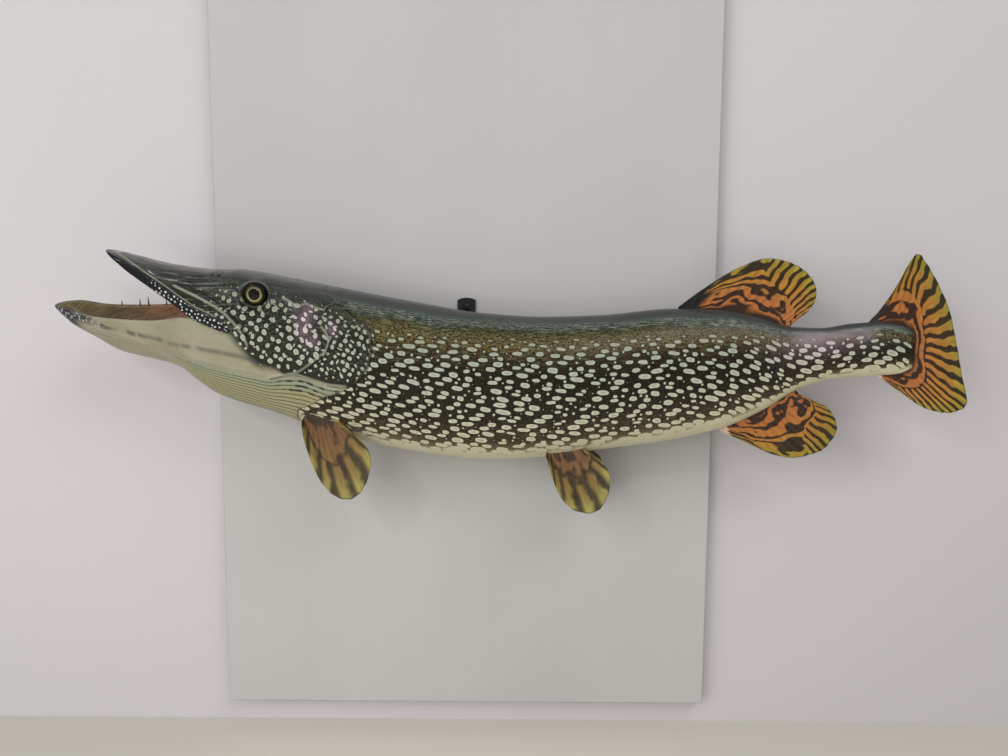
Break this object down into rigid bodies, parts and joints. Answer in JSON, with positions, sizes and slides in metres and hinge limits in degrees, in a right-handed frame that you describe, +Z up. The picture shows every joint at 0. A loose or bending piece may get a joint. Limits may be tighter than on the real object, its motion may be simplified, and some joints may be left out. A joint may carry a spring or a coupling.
{
  "type": "mounted northern pike",
  "caption": "Life-size taxidermy pike with its mouth open and fins spread, hung in profile on a white painted wall board.",
  "frame": {"origin": "centre of the board's flat back face, which lies on the wall", "axes": "+X from the fish's snout to its tail, +Y into the wall, +Z up; the fish's left flank faces -Y"},
  "size_m": [1.0005, 0.1368, 0.9],
  "materials": {
    "board_paint": "smooth board with matt white paint, faint vertical roller streaks",
    "hanger_steel": "blackened steel, satin",
    "fish_skin": "painted fish skin under clear gloss lacquer: slate green back, bronze-black flank with pale oval spots, cream belly",
    "fin_skin": "stiff lacquered fin membrane, orange to yellow with dark wavy bars",
    "eye_glass": "domed glass eye with a gold iris and black pupil",
    "mouth_lining": "olive to red-brown mouth lining, satin"
  },
  "bodies": {
    "root": {"board": "board_paint", "hanger": "hanger_steel", "hanger_screw_1": "hanger_steel", "hanger_screw_2": "hanger_steel", "upper_jaw": "fish_skin", "lower_jaw": "fish_skin", "tongue": "mouth_lining", "head": "fish_skin", "throat": "fish_skin", "gill_cover_left": "fish_skin", "gill_cover_right": "fish_skin", "eye_left": "eye_glass", "eye_right": "eye_glass", "trunk_front": "fish_skin", "trunk_middle": "fish_skin", "trunk_rear": "fish_skin", "tail_stalk": "fish_skin", "dorsal_fin": "fin_skin", "anal_fin": "fin_skin", "tail_fin": "fin_skin", "pectoral_fin_left": "fin_skin", "pectoral_fin_right": "fin_skin", "pelvic_fin_left": "fin_skin", "pelvic_fin_right": "fin_skin"}
  },
  "joints": []
}
